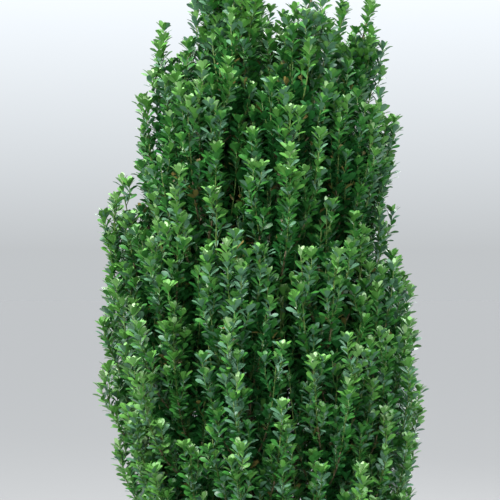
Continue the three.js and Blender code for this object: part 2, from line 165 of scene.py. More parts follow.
FLARE = Table(share=0.75, power=3, minor=[(0.45, 3, 1.0), (0.3, 8, 2.2)])  # a height, a count and a phase
COLLAR = Table(swell=0.5, reach=2.4)  # where a bough leaves what carries it, in radii
KNOT = Table(swell=0.05, spacing=47, length=7, shift=9)
FISSURE = Table(stretch=0.2, sharpness=0.6)
RELIEF_FOOT = Table(start=2, over=6)  # where the trunk's relief sets in above the soil
# The widths of a bough's root in the trunk's skin, in its own radii, over a length in radii.
BOUGH_START = Table(length=6.5, widths=[1.9, 1.75, 1.55, 1.3, 1.12, 0.98, 0.8, 0.5])
SKIN = Table(voxel=1.8, softening=8, softness=0.5)
CLAY = Table(
    sides=128, corner=6, wall_start=20, wall_end=296, wall_rings=40, inset=1,
    ripple=0.22, ripple_rate=0.9, smooth_foot=8, least_radius=30,
)
MIX = Table(rings=55, sides=180, overlap=0.5, settled=0.6)
MOUND = Table(height=6.5, radius=62, width=20)  # round the trunk
CRUMBS = Table(key=90, corner_key=91, count=2600, reach=0.985, size=(1.2, 3.6), uneven=(0.6, 0.7))
CHIPS = Table(
    key=95, corner_key=96, count=520, start=66, edge=6, lift=0.8, uneven=(0.65, 0.6), tilt=0.7,
    length=(2.4, 4.6), width=(1.4, 2.2), thickness=(0.6, 0.6),
)

# The kinds of repeatable draws keep one use apart from another. The last two rows are for the potting mix.
KIND = {
    "spacing": 1, "tip": 2, "strand_place": 3, "strand_turn": 4, "depth": 8, "rise": 9, "bow": 10,
    "shoot_place": 11, "shoot_turn": 12, "shoot_reach": 13, "shoot_rise": 14, "tone": 15, "vigour": 16,
    "leaf_turn": 17, "leaf_slant": 18, "leaf_size": 19, "leaf_roll": 20, "leaf_tint": 21, "leaf_cup": 22,
    "wave_x": 31, "wave_y": 32, "wave_z": 33, "wave_phase": 34, "wave_length": 35,
    "radius": 1, "turn": 2, "crumb_size": 3, "crumb_corner": 4, "chip_corner": 3, "chip_length": 4,
    "chip_width": 5, "chip_thickness": 6, "chip_tilt": 7, "chip_spin": 8,
}
# Each set of strands, strand, shoot and leaf has item numbers of its own.
FIRST_ITEM = Table(outer=100, stray=3000, leader=3900, inner=4000)
ITEMS_EACH = Table(strand=50, shoot=40, leaf=97)
PLUME_ITEM = Table(end=3, tone=7, blue=8, blue_step=9)


def chance(mass, item, kind):
    """The source's repeatable number from 0 to 1 for a mass, an item and a kind."""
    mixed = np.sin(12.9898 * mass + 78.233 * item + 37.719 * KIND[kind] + 0.731) * 43758.5453
    return mixed - np.floor(mixed)


def within(pair, luck):
    """A value from its least and what luck from 0 to 1 adds."""
    return pair[0] + pair[1] * luck


def swing(width, luck):
    """A value to both sides of 0, by luck from 0 to 1."""
    return width * (luck - 0.5)


def weighed(shares, first, second):
    return shares[0] * first + shares[1] * second


def climb(value, start, over):
    """0 up to a start, and from there a climb to 1."""
    return np.clip((value - start) / over, 0, 1)


def along(values, share):
    """The value at a share from 0 to 1 of an even list."""
    return np.interp(share, np.linspace(0, 1, len(values)), values)


def drift_at(z):
    heights, offsets = zip(*DRIFT)
    return np.interp(z - SOIL.seat_top, heights, offsets)


def crown_point(radius, angle, z):
    return np.array([drift_at(z) + radius * math.cos(angle), radius * math.sin(angle), z])


def unit(vectors):
    return vectors / np.maximum(np.linalg.norm(vectors, axis=-1, keepdims=True), 1e-9)


def across(vectors, ahead):
    """The parts of vectors that lie across ahead, as unit vectors."""
    return unit(vectors - (vectors * ahead).sum(-1, keepdims=True) * ahead)


def flat_direction(turn):
    return np.stack([np.cos(turn), np.sin(turn), np.zeros_like(turn)], -1)


def even_turns(count):
    return np.arange(count) * TURN / count


def round_axis(radius, turn, z):
    """Points round the Z axis, one for each radius, turn and height."""
    points = np.broadcast_arrays(radius * np.cos(turn), radius * np.sin(turn), z)
    return np.stack(points, -1).reshape(-1, 3)


def outward_from(ahead, sides):
    """Unit vectors evenly round each direction: (count, sides, 3)."""
    first = across(SIDEWAYS, ahead)
    second = np.cross(ahead, first)
    spin = even_turns(sides)[:, None]
    return first[:, None] * np.cos(spin) + second[:, None] * np.sin(spin)


class Line:
    """A smooth curve through points, read by shares of its length."""

    STEPS = 60  # between two points
    AHEAD = 0.004  # the share to each side that gives a direction

    def __init__(self, points):
        p = np.asarray(points, float)
        p = np.vstack([2 * p[0] - p[1], p, 2 * p[-1] - p[-2]])
        t = np.linspace(0, 1, self.STEPS, endpoint=False)[:, None]
        samples = []
        for i in range(1, len(p) - 2):
            d0, d1, d2 = (np.linalg.norm(p[k + 1] - p[k]) ** 0.5 for k in (i - 1, i, i + 1))
            into = ((p[i] - p[i - 1]) / d0 - (p[i + 1] - p[i - 1]) / (d0 + d1) + (p[i + 1] - p[i]) / d1) * d1
            out = ((p[i + 1] - p[i]) / d1 - (p[i + 2] - p[i]) / (d1 + d2) + (p[i + 2] - p[i + 1]) / d2) * d1
            cubic = 2 * p[i] - 2 * p[i + 1] + into + out
            square = -3 * p[i] + 3 * p[i + 1] - 2 * into - out
            samples.append(p[i] + into * t + square * t**2 + cubic * t**3)
        self.points = np.vstack(samples + [p[-2:-1]])
        steps = np.linalg.norm(np.diff(self.points, axis=0), axis=1)
        self.length = steps.sum()
        self.shares = np.concatenate([[0], np.cumsum(steps)]) / self.length

    def at(self, share):
        """Points at shares of the length. Past the end they run straight on."""
        share = np.atleast_1d(share)
        inside = np.stack([np.interp(share, self.shares, self.points[:, k]) for k in range(3)], 1)
        past = np.maximum(share - 1, 0)[:, None] * self.length
        return inside + past * unit(self.points[-1] - self.points[-2])

    def ahead(self, share):
        share = np.clip(np.atleast_1d(share), self.AHEAD, 1 - self.AHEAD)
        return unit(self.at(share + self.AHEAD) - self.at(share - self.AHEAD))

    def share_at_height(self, z):
        return float(np.interp(z, self.points[:, 2], self.shares))


# The plan of the masses.
def ring_angles(ring):
    """The directions of a ring's masses in degrees, given or spaced by chance."""
    if hasattr(ring, "angles"):
        return ring.angles
    steps = np.arange(ring.count)
    uneven = swing(UNEVEN, chance(ring.count, steps, "spacing"))
    return list(360 / ring.count * (steps + ring.phase + uneven))


def angle_from(a, b):
    return math.atan2(math.sin(b - a), math.cos(b - a))


def bough_root(mass, masses):
    """Where a mass's bough leaves the trunk or, for a mid one, the nearest top bough."""
    rule = BOUGH_ROOTS.get(mass.ring.name)
    if rule:
        z = SOIL.seat_top + TRUNK.height - rule.depth + rule.lift * (mass.index % 2)
        return crown_point(rule.radius, mass.angle, z)
    carriers = [other for other in masses if other.ring.name == "top"]
    line = min(carriers, key=lambda other: abs(angle_from(other.angle, mass.angle))).line
    return line.at(line.share_at_height(SOIL.seat_top + MID_HEIGHTS[mass.index % len(MID_HEIGHTS)]))[0]


def draw_line(mass, root):
    heights = np.linspace(mass.foot, mass.tip, len(mass.ring.radii))
    stem = [crown_point(radius, mass.angle, z) for radius, z in zip(mass.ring.radii, heights)]
    between = (root + stem[0]) / 2
    between[2] -= BOUGH_SAG * (mass.foot - root[2])
    return Line([root, between, *stem])


def is_spire(mass):
    """Whether a mass is one of the slim spires on the crown's right."""
    return mass.ring.name == "top" and math.cos(mass.angle) > 0


def half_width(mass, share):
    """A mass's half-width. The top ones grow slim towards their tips, and the spires most of all."""
    width = along(mass.ring.half_widths, share)
    if mass.ring.name != "top":
        return width
    rule = SPIRE if is_spire(mass) else SLIM_TOP
    return width * (1 - rule.slimness * climb(share, rule.start, 1 - rule.start))


def stem_share(mass, share):
    """The share of a mass's whole line at a share of its stem."""
    return mass.foot_share + (1 - mass.foot_share) * np.asarray(share)


def plan_masses():
    """The masses, each with one line from its bough's root through its foot to its tip."""
    masses = []
    for ring in RINGS:
        angles = ring_angles(ring)
        for k, degrees in enumerate(angles):
            angle = math.radians(degrees)
            jitter = swing(ring.jitter, chance(len(angles), k, "tip"))
            masses.append(Table(
                ring=ring, angle=angle, index=k, key=len(masses) + 1,
                name=ring.name if len(angles) == 1 else f"{ring.name}_{k + 1}",
                foot=SOIL.seat_top + ring.foot,
                tip=SOIL.seat_top + ring.tip - ring.swing * math.cos(angle) + jitter,
            ))
    shares = np.linspace(0, 1, STEM.stations + 1)
    for mass in sorted(masses, key=lambda each: -each.foot):
        mass.line = draw_line(mass, bough_root(mass, masses))
        mass.foot_share = mass.line.share_at_height(mass.foot)
        mass.stations = mass.line.at(stem_share(mass, shares))
        mass.half_widths = half_width(mass, shares)
    return masses


MASSES = plan_masses()


def closeness(mass, points):
    """Distances of points from a mass's stem, as shares of its half-width there."""
    a = mass.stations[:-1]
    way = np.diff(mass.stations, axis=0)
    from_a = points[:, None, :] - a
    t = np.clip((from_a * way).sum(-1) / (way * way).sum(-1), 0, 1)
    away = np.linalg.norm(from_a - t[..., None] * way, axis=-1)
    return (away / (mass.half_widths[:-1] + t * np.diff(mass.half_widths))).min(1)


def closeness_of_others(mass, points):
    return np.min([closeness(other, points) for other in MASSES if other is not mass], axis=0)


def share_of_height(mass, points):
    return (points[:, 2] - mass.foot) / (mass.tip - mass.foot)


def in_space(mass, points, reach):
    """Whether points lie in the mass's own space and out of its neighbours'."""
    own = closeness(mass, points)
    inside = (own <= reach) & (closeness_of_others(mass, points) > np.minimum(own, 1) + SPACE.margin)
    if mass.ring.radii[0] >= SPACE.outer_ring:
        share = share_of_height(mass, points)
        radius = (points[:, 0] - drift_at(points[:, 2])) * math.cos(mass.angle)
        radius += points[:, 1] * math.sin(mass.angle)
        inside &= along(mass.ring.radii, share) - radius <= SPACE.inward * half_width(mass, share)
    return inside


# Cubic curves, many at a time, as controls of (count, 4, 3).
def on_curves(controls, t):
    """Points and directions, one for each curve."""
    t = np.broadcast_to(t, len(controls))[:, None]
    s = 1 - t
    a, b, c, d = (controls[:, k] for k in range(4))
    points = s**3 * a + 3 * s * s * t * b + 3 * s * t * t * c + t**3 * d
    return points, unit(3 * s * s * (b - a) + 6 * s * t * (c - b) + 3 * t * t * (d - c))


def chord_lengths(controls):
    return np.linalg.norm(controls[:, 3] - controls[:, 0], axis=1)


def shared_out(counts):
    """For counts of things on each carrier: the carrier of each thing, and its order there."""
    carrier = np.repeat(np.arange(len(counts)), counts)
    return carrier, np.arange(len(carrier)) - np.repeat(np.cumsum(counts) - counts, counts)


def strand_ends(mass):
    if is_spire(mass):
        return SPIRE.ends
    end, more = STRAND.ends
    if mass.ring.name in ("low", "mid"):
        end = within(STRAND.low_ends, chance(mass.key, PLUME_ITEM.end, "tip"))
    return end, more


def strand_turns(mass, key, i, inner):
    """The directions of strands: the outer ones by columns, the inner ones by golden shares of the span."""
    span = math.radians(mass.ring.span_degrees)
    if inner:
        place = ((i + chance(key, 0, "strand_turn")) * GOLDEN_SHARE) % 1 - 0.5
        return mass.angle + (span + INNER.wider) * place
    column = (2 * i) % mass.ring.columns
    turn = mass.angle + span * ((column + 0.5) / mass.ring.columns - 0.5)
    return turn + swing(STRAND.stray, chance(key, i, "strand_turn"))


def strand_curves(mass, inner):
    """Long upright twigs from the mass's stem. They bow outward, then stand up beside it. The outer ones
    stand in columns, so that dark gaps run up between them."""
    ring, line = mass.ring, mass.line
    key = mass.key + (INNER.key if inner else 0)
    count = ring.inner if inner else ring.columns * ring.tiers
    i = np.arange(count)
    share = STRAND.span * (i + PLACING * chance(key, i, "strand_place")) / count
    turn = strand_turns(mass, key, i, inner)
    depth = within(INNER.depth if inner else STRAND.depth, chance(key, i, "depth"))
    rise = within(STRAND.rise, chance(key, i, "rise"))
    end = within(strand_ends(mass), chance(key, i, "bow"))
    tip_share = np.minimum(share + rise / (line.length * (1 - mass.foot_share)), end)
    root = line.at(stem_share(mass, share))
    out = flat_direction(turn)
    tip = root.copy()
    kept = np.zeros(count, bool)
    for pull in STRAND.pulls:
        reach = pull * depth * (half_width(mass, tip_share) - STRAND.inset)
        trial = line.at(stem_share(mass, tip_share)) + out * reach[:, None]
        fits = in_space(mass, trial, STRAND.space) & ~kept
        tip[fits] = trial[fits]
        kept |= fits
    height = (tip - root)[:, 2:3]
    low = root + STRAND.foot_bend[0] * ((tip - root) * [1, 1, 0]) + UP * STRAND.foot_bend[1] * height
    high = tip - (UP + STRAND.tip_bend[0] * out) * STRAND.tip_bend[1] * height
    return np.stack([root, low, high, tip], 1)[kept], turn[kept]


def stray_curves(mass):
    out = flat_direction(np.float64(mass.angle))
    controls = []
    for name, share, reach, height in STRAYS:
        if name == mass.name:
            root = mass.line.at(stem_share(mass, share))[0]
            rise = SOIL.seat_top + height + STRAY.higher - root[2]
            tip = root + out * reach + UP * rise
            low = root + out * STRAY.foot_bend[0] * reach + UP * STRAY.foot_bend[1] * rise
            controls.append([root, low, tip - UP * STRAY.tip_bend * rise, tip])
    return np.array(controls).reshape(-1, 4, 3), np.full(len(controls), mass.angle)


def leader_curve(mass):
    """The tip of the mass's own stem, carried on a little."""
    a, b, c, d = mass.line.at(np.linspace(stem_share(mass, LEADER.start), 1, 4))
    tip = d + mass.line.ahead(1.0)[0] * LEADER.rise
    return np.array([[a, b + LEADER.lean * (c - b), d, tip]]), np.array([mass.angle])


# A spray is a set of twigs: their curves, turns and item keys, and the vigour, tone and blueness of each.
def strand_spray(mass, curves, turns, first_item):
    key = mass.key
    keys = ITEMS_EACH.strand * first_item + np.arange(len(curves))
    blue = chance(key, keys + PLUME_ITEM.blue_step, "tone")
    return {
        "curves": curves, "turns": turns, "keys": keys,
        "vigour": within(VIGOUR.strand, chance(key, keys, "vigour")),
        "tone": weighed(TINT.plume_tone, chance(key, PLUME_ITEM.tone, "tone"), chance(key, keys, "tone")),
        "blue": weighed(TINT.plume_blue, chance(key, PLUME_ITEM.blue, "tone"), blue),
    }


def shoot_spray(mass, strands, first_item, spacing, reach_share):
    """Short shoots round each strand by golden turns. They rise beside it."""
    counts = np.maximum(2, (chord_lengths(strands["curves"]) / spacing).astype(int))
    strand, j = shared_out(counts)
    keys = first_item + ITEMS_EACH.shoot * strand + j

    def luck(kind):
        return chance(mass.key, keys, kind)

    t = SHOOT.start + SHOOT.span * (j + PLACING * luck("shoot_place")) / counts[strand]
    root, ahead = on_curves(strands["curves"][strand], t)
    turn = strands["turns"][strand]
    spin = turn + j * GOLDEN_TURN + luck("shoot_turn")
    out = unit(flat_direction(spin) + SHOOT.outward * flat_direction(turn))
    up = unit(SHOOT.ahead * ahead + UP)
    reach = (within(SHOOT.reach, luck("shoot_reach")) * reach_share)[:, None]
    rise = within(SHOOT.rise, luck("shoot_rise"))[:, None]
    tip = root + out * reach + up * rise
    low = root + out * SHOOT.foot_bend[0] * reach + up * SHOOT.foot_bend[1] * rise
    return {
        "curves": np.stack([root, low, tip - up * SHOOT.tip_bend * rise, tip], 1),
        "turns": spin, "keys": keys,
        "vigour": within(VIGOUR.shoot, luck("vigour")) * within(VIGOUR.low_shoot, t**2),
        "tone": weighed(TINT.strand_tone, strands["tone"][strand], luck("tone")),
        "blue": strands["blue"][strand],
    }


# Leaves. A leaf is an obovate blade in its own outline, folded a little at its midrib and arched. Its points
# are shares of its length and width. The leaves inside the crown have fewer faces.
BLADE = (
    np.array([
        [0, 0], [0.34, -0.31], [0.34, 0], [0.34, 0.31], [0.68, -0.5], [0.7, 0], [0.68, 0.5],
        [0.92, -0.32], [0.92, 0.32], [1, 0],
    ]),
    np.array([
        [0, 1, 2], [0, 2, 3], [1, 4, 5], [1, 5, 2], [2, 5, 6], [2, 6, 3],
        [4, 7, 5], [7, 9, 5], [5, 9, 8], [5, 8, 6],
    ]),
)
INNER_BLADE = (
    np.array([[0, 0], [0.56, -0.46], [0.6, 0], [0.56, 0.46], [0.92, -0.3], [0.92, 0.3]]),
    np.array([[0, 1, 2], [0, 2, 3], [1, 4, 2], [2, 4, 5], [2, 5, 3]]),
)
INNER_TINTS = {"shade", "dry"}


def rising(rule, order):
    """A value that grows with the order from a twig's tip, up to its most."""
    return np.minimum(rule.first + rule.step * order, rule.most)


def leaf_sizes(tip_order, share, luck):
    """Shares of the full length. The youngest leaves, old ones and those at a twig's foot are smaller."""
    size = rising(SIZE, tip_order) - SIZE.fall * climb(tip_order, SIZE.fall_start, SIZE.fall_over)
    size *= np.where(share < SIZE.foot_share, SIZE.foot, 1.0)
    return size * within(SIZE.luck, luck)


def leaf_painted_light(mass, point, own):
    # Painted light and shade: how much light a leaf gets from its place in the crown, which its tint then
    # shows.
    stations = mass.stations
    stem_at = np.stack([np.interp(point[:, 2], stations[:, 2], stations[:, k]) for k in range(2)], 1)
    outward = (point[:, :2] - stem_at) @ np.array([math.cos(mass.angle), math.sin(mass.angle)])
    share = share_of_height(mass, point)
    half = half_width(mass, np.clip(share, 0, 1))
    exposure = np.clip(PAINTED_LIGHT.stem + PAINTED_LIGHT.outward * outward / half, 0, 1)
    exposure *= np.clip(own * PAINTED_LIGHT.edge, 0, 1)
    if mass.ring.name in ("top", "middle"):
        near_tip = climb(share, PAINTED_LIGHT.top_start, PAINTED_LIGHT.top_over)
        exposure = np.maximum(exposure, PAINTED_LIGHT.top * near_tip)
    return exposure


def leaf_tints(tip_order, vigour, tone, blue, exposure, luck):
    """Bright young leaves at the tip of a shoot, greener and bluer ones below, by the spray's own tone, with
    painted shade on the leaves inside the crown and painted light on the outer and top ones.
    """
    # The exposure term is painted shade inside the crown and painted light outside and on the tops.
    score = TINT.tone * tone - TINT.dullness + TINT.exposure * exposure
    score += TINT.vigour * vigour * np.exp(-tip_order / TINT.tip_reach)
    tint = np.array(TINT.names)[np.searchsorted(TINT.steps, score)]
    # Blue leaves: a bluish hue, partly a painted sheen of the sky on older leaves.
    bluish = (tip_order > TINT.blue_start) & (luck > TINT.blue[0] - TINT.blue[1] * blue)
    tint[bluish & np.isin(tint, ["leaf", "deep"])] = "blue"
    tint[(exposure < TINT.dry_exposure) & (luck < TINT.dry)] = "dry"
    return tint


def chosen(table, mask):
    return {name: column[mask] for name, column in table.items()}


def grow_leaves(mass, spray, start, spacing, broad):
    """The leaves on a spray: evenly along each twig from its start, then a rosette at its tip. A leaf that
    would reach into a neighbour's space is left out."""
    lengths = LEAF.curve * chord_lengths(spray["curves"])
    bodies = (lengths * (1 - start) / spacing).astype(int)
    twig, order = shared_out(bodies + LEAF.rosette)
    body = bodies[twig]
    count = body + LEAF.rosette
    tip_order = count - 1 - order
    item = spray["keys"][twig] * ITEMS_EACH.leaf + order

    def luck(kind):
        return chance(mass.key, item, kind)

    rosette_start, rosette_length = LEAF.rosette_span
    on_body = start + (rosette_start - start) * order / np.maximum(body, 1)
    in_rosette = rosette_start + rosette_length * (order - body) / LEAF.rosette
    point, ahead = on_curves(spray["curves"][twig], np.where(order < body, on_body, in_rosette))
    around = spray["turns"][twig] + order * GOLDEN_TURN + swing(LEAF.turn, luck("leaf_turn"))
    out = across(flat_direction(around), ahead)
    slant = rising(SLANT, tip_order) + swing(SLANT.swing, luck("leaf_slant"))
    direction = unit(ahead + out * slant[:, None])
    upper = across(-out, direction)
    roll = swing(LEAF.roll, luck("leaf_roll"))[:, None]
    upper = np.cos(roll) * upper + np.sin(roll) * np.cross(upper, direction)
    size = leaf_sizes(tip_order, order / count, luck("leaf_size"))
    end = point + direction * (LEAF.length * size)[:, None]
    own = closeness(mass, end)
    vigour, tone, blue = (spray[name][twig] for name in ("vigour", "tone", "blue"))
    tint = leaf_tints(tip_order, vigour, tone, blue, leaf_painted_light(mass, point, own), luck("leaf_tint"))
    leaves = {
        "point": point, "direction": direction, "upper": upper, "tint": tint,
        "size": size * np.where(tint == "shade", broad, 1.0),
        "cup": within(LEAF.cup, luck("leaf_cup")),
        "arch": within(LEAF.arch, luck("bow")),
    }
    return chosen(leaves, closeness_of_others(mass, end) > np.minimum(own, 1) - SPACE.margin)


# Shapes. A shape is a pair of corners and triangles.
def repeated(faces, copies, corners_each):
    return (faces[None] + (np.arange(copies) * corners_each)[:, None, None]).reshape(-1, 3)


def blades(blade, leaves):
    outline, faces = blade
    far, aside = outline[:, 0], outline[:, 1]
    size = leaves["size"]
    side = np.cross(leaves["upper"], leaves["direction"])
    length = LEAF.length * size
    width = LEAF.width * size * within(LEAF.slimness, np.clip(size, 0, 1) ** 2)
    lift = leaves["cup"][:, None] * (np.abs(aside) / 0.5) ** 1.5 - leaves["arch"][:, None] * far**2
    corners = leaves["point"][:, None] + leaves["direction"][:, None] * (far * length[:, None])[..., None]
    corners = corners + side[:, None] * (aside * width[:, None])[..., None]
    corners = corners + leaves["upper"][:, None] * (lift * size[:, None])[..., None]
    return corners.reshape(-1, 3), repeated(faces, len(size), len(outline))


def tube_faces(rings, sides, closed=True):
    faces = []
    for r in range(rings - 1):
        for s in range(sides):
            a, b = r * sides + s, r * sides + (s + 1) % sides
            faces += [[a, b, b + sides], [a, b + sides, a + sides]]
    if closed:
        faces += [[0, s + 1, s] for s in range(1, sides - 1)]
        last = (rings - 1) * sides
        faces += [[last, last + s, last + s + 1] for s in range(1, sides - 1)]
    return np.array(faces)


def tubes(curves, span, radii, rings, sides):
    """Tapering tubes along the same stretch of many curves."""
    corners = []
    for step in np.linspace(0, 1, rings):
        points, ahead = on_curves(curves, span[0] + (span[1] - span[0]) * step)
        radius = radii[0] + (radii[1] - radii[0]) * step
        corners.append(points[:, None] + outward_from(ahead, sides) * radius)
    corners = np.stack(corners, 1).reshape(-1, 3)
    return corners, repeated(tube_faces(rings, sides), len(curves), rings * sides)


def join(shapes):
    corners, faces, offset = [], [], 0
    for own_corners, own_faces in shapes:
        corners.append(own_corners)
        faces.append(own_faces + offset)
        offset += len(own_corners)
    return np.concatenate(corners), np.concatenate(faces)


def placed(name, data):
    thing = bpy.data.objects.new(name, data)
    bpy.context.scene.collection.objects.link(thing)
    return thing


def add_piece(name, shape, material, slot, *nodes, smooth=True):
    """A mesh object in its material, which stands for nodes of the frame. Its slot is not used."""
    corners, triangles = shape
    mesh = bpy.data.meshes.new(name)
    mesh.vertices.add(len(corners))
    mesh.vertices.foreach_set("co", (corners * MM).astype(np.float32).ravel())
    mesh.loops.add(len(triangles) * 3)
    mesh.loops.foreach_set("vertex_index", triangles.astype(np.int32).ravel())
    mesh.polygons.add(len(triangles))
    mesh.polygons.foreach_set("loop_start", np.arange(0, len(triangles) * 3, 3, dtype=np.int32))
    mesh.polygons.foreach_set("use_smooth", np.full(len(triangles), smooth))
    mesh.update(calc_edges=True)
    mesh.validate()
    mesh.materials.append(material)
    piece = placed(name, mesh)
    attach(piece, "root")
    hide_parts(*nodes)


# Materials. Their colours are screen values of 0 to 255.
def from_srgb(*colour):
    """Linear colour from screen values."""
    return tuple(v / 255 / 12.92 if v < 10.3 else ((v / 255 + 0.055) / 1.055) ** 2.4 for v in colour)


def plain_material(name, colour, roughness, coat=0.0):
    material = bpy.data.materials.new(name)
    material.use_nodes = True
    shader = material.node_tree.nodes["Principled BSDF"]
    shader.inputs["Base Color"].default_value = (*colour, 1)
    shader.inputs["Roughness"].default_value = roughness
    shader.inputs["Coat Weight"].default_value = coat
    shader.inputs["Coat Roughness"].default_value = GLOSS.coat_roughness
    return material


class Nodes:
    """A short way to lay out the nodes of a material or a world."""

    def __init__(self, owner, place="Object"):
        owner.use_nodes = True
        self.owner = owner
        self.tree = owner.node_tree
        self.place = self.add("TexCoord", {}).outputs[place]

    def fill(self, node, inputs):
        """Links each input from an output, or sets it to a value."""
        for name, value in inputs.items():
            if isinstance(value, bpy.types.NodeSocket):
                self.tree.links.new(value, node.inputs[name])
            else:
                node.inputs[name].default_value = value

    def add(self, kind, inputs, **settings):
        node = self.tree.nodes.new(f"ShaderNode{kind}")
        for name, value in settings.items():
            setattr(node, name, value)
        self.fill(node, inputs)
        return node

    def height(self):
        return self.add("SeparateXYZ", {"Vector": self.place}).outputs["Z"]

    def noise(self, scale, detail=4, upward=None):
        """A noise. A small upward rate draws it out along the height."""
        place = self.place
        if upward:
            place = self.add("Mapping", {"Vector": place, "Scale": (1, 1, upward)}).outputs["Vector"]
        return self.add("TexNoise", {"Vector": place, "Scale": scale, "Detail": detail}).outputs["Fac"]

    def linear_ramp(self, value, stops):
        node = self.add("ValToRGB", {"Fac": value})
        elements = node.color_ramp.elements
        while len(elements) < len(stops):
            elements.new(0.5)
        for element, (position, colour) in zip(elements, stops):
            element.position = position
            element.color = (*colour, 1)
        return node.outputs["Color"]

    def ramp(self, value, stops):
        return self.linear_ramp(value, [(position, from_srgb(*colour)) for position, colour in stops])

    def mix(self, share, first, second):
        """A mix of a colour output with another one, or with one plain colour."""
        if isinstance(second, tuple):
            second = (*from_srgb(*second), 1)
        return self.add("Mix", {"Factor": share, 6: first, 7: second}, data_type="RGBA").outputs[2]

    def spread(self, value, low, high, least, most):
        """The value from low to high, spread from least to most."""
        ends = {"From Min": low, "From Max": high, "To Min": least, "To Max": most}
        return self.add("MapRange", {"Value": value, **ends}).outputs["Result"]

    def times(self, first, second):
        return self.add("Math", {0: first, 1: second}, operation="MULTIPLY").outputs["Value"]

    def finish(self, colour, roughness, relief, strength, distance):
        """The material with its colour, its roughness and a bump by a relief."""
        bump = self.add("Bump", {"Height": relief, "Strength": strength, "Distance": distance})
        shader = self.tree.nodes["Principled BSDF"]
        self.fill(shader, {"Base Color": colour, "Roughness": roughness, "Normal": bump.outputs["Normal"]})
        return self.owner


def stem_material(name, dark, middle, light, roughness):
    """The bark of thin twigs: fine mottling, drawn out along them."""
    n = Nodes(bpy.data.materials.new(name))
    mottling = n.noise(scale=260, detail=3, upward=0.3)
    colour = n.ramp(mottling, [(0.3, dark), (0.5, middle), (0.72, light)])
    return n.finish(colour, roughness, mottling, strength=0.3, distance=0.0004)


def foliage_materials():
    """The materials of twigs by their bark, and of leaves by their tint."""
    materials = {
        "green": stem_material("green_stem", (62, 90, 38), (90, 118, 54), (122, 140, 76), roughness=0.5),
        "brown": stem_material("brown_stem", (62, 52, 34), (94, 84, 56), (128, 118, 88), roughness=0.7),
    }
    for tint, colour in LEAF_COLOURS.items():
        materials[tint] = plain_material(f"leaf_{tint}", from_srgb(*colour), GLOSS.roughness, GLOSS.coat)
    return materials


def bark_material():
    """Grey-brown bark: a grain drawn out upward, pale specks across it, and greenish patches of algae."""
    n = Nodes(bpy.data.materials.new("bark_skin"))
    grain = n.noise(scale=75, detail=6, upward=0.16)
    patches = n.noise(scale=11)
    specks = n.noise(scale=230, detail=2, upward=1.8)
    tones = [(0.28, (52, 44, 34)), (0.45, (92, 82, 66)), (0.6, (122, 111, 92)), (0.78, (156, 146, 126))]
    body = n.ramp(grain, tones)
    green = n.mix(n.spread(patches, 0.48, 0.68, 0, 0.55), body, (98, 106, 66))
    speckled = n.mix(n.spread(specks, 0.64, 0.7, 0, 0.6), green, (172, 164, 144))
    return n.finish(speckled, 0.88, grain, strength=0.7, distance=0.0018)


def clay_material():
    """Fired clay: slow changes of tone, a fine grain, a pale bloom of lime in streaks, and a damp foot."""
    n = Nodes(bpy.data.materials.new("clay"))
    clouds = n.noise(scale=5)
    streaks = n.noise(scale=16, detail=5, upward=0.3)
    grain = n.noise(scale=620, detail=3)
    flakes = n.noise(scale=70, detail=5)
    body = n.ramp(clouds, [(0.3, (112, 61, 38)), (0.5, (134, 76, 48)), (0.75, (150, 90, 60))])
    fine = n.ramp(grain, [(0.32, (98, 52, 34)), (0.5, (136, 78, 50)), (0.72, (168, 112, 82))])
    clay = n.mix(0.3, body, fine)
    bloom = n.times(n.spread(streaks, 0.5, 0.66, 0, 0.5), n.spread(flakes, 0.4, 0.62, 0.25, 1))
    limed = n.mix(bloom, clay, (188, 166, 146))
    damp = n.times(n.spread(n.height(), 0.0, 0.07, 0.6, 0.0), n.spread(clouds, 0.35, 0.6, 0.5, 1.0))
    colour = n.mix(damp, limed, (70, 46, 32))
    return n.finish(colour, n.spread(streaks, 0.3, 0.7, 0.72, 0.92), grain, strength=0.22, distance=0.0005)


def mix_material():
    n = Nodes(bpy.data.materials.new("potting_mix"))
    lumps = n.noise(scale=120, detail=6)
    tones = [(0.3, (20, 14, 10)), (0.5, (44, 31, 22)), (0.66, (70, 51, 36)), (0.8, (104, 82, 60))]
    return n.finish(n.ramp(lumps, tones), 0.95, lumps, strength=0.9, distance=0.003)


def chip_material():
    """Chips of bark in the potting mix, each near one tone."""
    n = Nodes(bpy.data.materials.new("bark_chips"))
    tone = n.noise(scale=42, detail=1)
    grain = n.noise(scale=300, detail=3)
    body = n.ramp(tone, [(0.35, (58, 36, 24)), (0.5, (96, 62, 40)), (0.65, (138, 98, 68))])
    fine = n.ramp(grain, [(0.35, (50, 32, 22)), (0.7, (132, 98, 72))])
    return n.finish(n.mix(0.35, body, fine), 0.9, grain, strength=0.5, distance=0.0008)


# Twigs and leaves.
def grow_set(
    mass, grown, curves, turns, first_item,
    shoot_spacing=SHOOT.spacing, leaf_spacing=LEAF.spacing, reach_share=1, broad=1, free=False,
):
    """A set of strands with their shoots and the leaves on both. Free ones may leave the mass's space."""
    if not len(curves):
        return
    strands = strand_spray(mass, curves, turns, first_item)
    shoots = shoot_spray(mass, strands, first_item, shoot_spacing, reach_share)
    shoots = chosen(shoots, in_space(mass, shoots["curves"][:, 3], SHOOT.space) | free)
    grown["leaves"] += [
        grow_leaves(mass, shoots, LEAF.shoot_start, leaf_spacing, broad),
        grow_leaves(mass, strands, LEAF.strand_start, LEAF.strand_spacing * leaf_spacing, broad),
    ]
    foot, tip, woody = STRAND.radius, STRAND.tip_radius, STRAND.woody
    middle = (foot + tip) / 2
    grown["green"] += [
        tubes(shoots["curves"], (0, 1), (SHOOT.radius, SHOOT.tip_radius), rings=4, sides=3),
        tubes(curves, (woody, 1), (middle, tip), rings=5, sides=4),
    ]
    grown["brown"].append(tubes(curves, (0, woody), (foot, middle), rings=7, sides=4))


